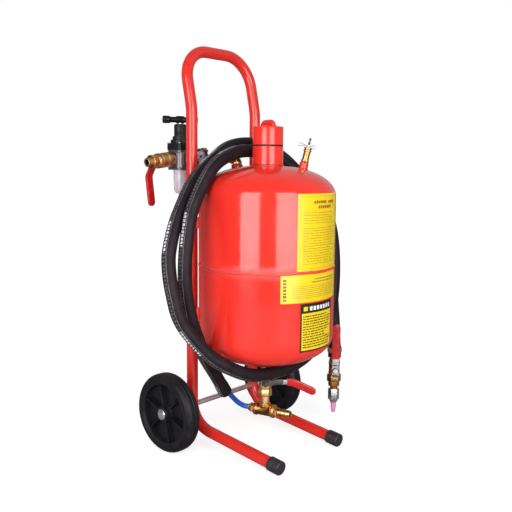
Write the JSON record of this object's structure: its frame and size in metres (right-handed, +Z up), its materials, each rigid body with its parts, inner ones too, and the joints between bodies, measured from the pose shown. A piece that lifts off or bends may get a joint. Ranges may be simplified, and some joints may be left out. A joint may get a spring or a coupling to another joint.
{
  "type": "portable abrasive blasting pot",
  "caption": "Portable abrasive blasting pot: upright pressure tank on a two-wheeled tube frame, with air regulator, ball valves, mixing tee and a coiled blast hose with nozzle.",
  "frame": {"origin": "on the floor, midway across the wheels and midway between the tank's front and the inlet lever's back", "axes": "+Z up, -Y front, the wheels at the back, +X to the right as seen from the front"},
  "size_m": [0.5234, 0.3935, 0.8967],
  "materials": {
    "red_paint": "glossy powder coat",
    "red_grip": "dipped vinyl",
    "yellow_decal": "printed film",
    "black_hose": "semi-matt",
    "blue_hose": "smooth",
    "gasket": "matt",
    "tyre": "satin",
    "hub": "satin moulding",
    "foot_cap": "satin moulding",
    "black_plastic": "satin moulding",
    "brass": "cast and turned",
    "copper": "coppery plating",
    "steel": "zinc plated",
    "chrome": "bright",
    "regulator_metal": "grey coated casting",
    "clear_bowl": "clear plastic",
    "filter_white": "sintered",
    "dial": "printed face",
    "gauge_glass": "clear lens",
    "ceramic": "pink glazed"
  },
  "bodies": {
    "pot_and_frame": {"tank_shell_upper": "red_paint", "tank_shell_lower": "red_paint", "tank_weld_seam": "red_paint", "tank_bosses": "red_paint", "filler_neck": "red_paint", "upright_left": "red_paint", "upright_right": "red_paint", "foot_left": "red_paint", "foot_right": "red_paint", "handle": "red_paint", "brackets": "red_paint", "decals": "yellow_decal", "foot_cap_left": "foot_cap", "foot_cap_right": "foot_cap", "axle": "steel", "push_caps": "chrome", "air_elbows": "brass", "air_pipes": "steel", "air_fitting": "steel", "regulator_body": "regulator_metal", "regulator_bonnet": "black_plastic", "filter_bowl": "clear_bowl", "filter_element": "filter_white", "gauge_stem": "brass", "gauge_case": "black_plastic", "gauge_dial": "dial", "gauge_glass": "gauge_glass", "inlet_valve_body": "brass", "sand_valve_body": "brass", "mixing_tee": "brass", "barbed_tail": "brass", "nozzle_valve_body": "brass", "nozzle_holder": "steel", "ceramic_nozzle": "ceramic", "hose_clamp": "copper", "relief_body": "brass", "blast_hose": "black_hose", "air_hose": "blue_hose"},
    "wheel_left": {"tyre_left": "tyre", "hub_left": "hub"},
    "wheel_right": {"tyre_right": "tyre", "hub_right": "hub"},
    "cap_seal": {"neck_gasket": "gasket"},
    "cap": {"filler_cap": "red_paint", "cap_handle": "red_paint"},
    "inlet_lever_set": {"inlet_ball": "chrome", "inlet_lever": "red_grip", "inlet_grip": "red_grip"},
    "sand_lever_set": {"sand_ball": "chrome", "sand_lever": "steel", "sand_grip": "red_grip"},
    "nozzle_lever_set": {"nozzle_ball": "chrome", "nozzle_lever": "steel", "nozzle_grip": "red_grip"},
    "regulator_knob": {"adjusting_screw": "steel", "tee_handle": "black_plastic"},
    "needle": {"gauge_needle": "black_plastic"},
    "drain": {"bowl_drain": "black_plastic"},
    "relief_pin": {"relief_stem": "steel", "relief_cotter": "steel"}
  },
  "joints": [
    {"name": "wheel_left_spin", "type": "hinge", "parent": "pot_and_frame", "child": "wheel_left", "pos_m": [-0.1747, 0.08522, 0.088], "axis": [1, 0, 0], "continuous": true},
    {"name": "wheel_right_spin", "type": "hinge", "parent": "pot_and_frame", "child": "wheel_right", "pos_m": [0.1747, 0.08522, 0.088], "axis": [1, 0, 0], "continuous": true},
    {"name": "cap_rise", "type": "slide", "parent": "pot_and_frame", "child": "cap_seal", "axis": [0, 0, 1], "range_m": [0, 0.012]},
    {"name": "cap_turn", "type": "hinge", "parent": "cap_seal", "child": "cap", "pos_m": [0, -0.04582, 0.7], "axis": [0, 0, 1], "range_deg": [0, 1440]},
    {"name": "inlet_lever_turn", "type": "hinge", "parent": "pot_and_frame", "child": "inlet_lever_set", "pos_m": [-0.14067, 0.15418, 0.64064], "axis": [0, 1, 0], "range_deg": [0, 90]},
    {"name": "sand_lever_turn", "type": "hinge", "parent": "pot_and_frame", "child": "sand_lever_set", "pos_m": [0, -0.04582, 0.155], "axis": [-0.742, -0.6704, 0], "range_deg": [-90, 0]},
    {"name": "nozzle_lever_turn", "type": "hinge", "parent": "pot_and_frame", "child": "nozzle_lever_set", "pos_m": [0.224, -0.07583, 0.138], "axis": [-0.742, -0.6704, 0], "range_deg": [-90, 0]},
    {"name": "regulator_turn", "type": "hinge", "parent": "pot_and_frame", "child": "regulator_knob", "pos_m": [-0.075, 0.15418, 0.735], "axis": [0, 0, 1], "continuous": true},
    {"name": "needle_swing", "type": "hinge", "parent": "pot_and_frame", "child": "needle", "pos_m": [-0.0665, 0.09717, 0.651], "axis": [0, 1, 0], "range_deg": [0, 270], "stiffness_Nm_per_rad": 0.002},
    {"name": "drain_push", "type": "slide", "parent": "pot_and_frame", "child": "drain", "axis": [0, 0, 1], "range_m": [0, 0.002], "stiffness_N_per_m": 200},
    {"name": "relief_lift", "type": "slide", "parent": "pot_and_frame", "child": "relief_pin", "axis": [0.1542, -0.1689, 0.9735], "range_m": [0, 0.003], "stiffness_N_per_m": 500}
  ],
  "couplings": [
    {"joint": "cap_rise", "follows": "cap_turn", "m_per_rad": 0.00047746}
  ]
}
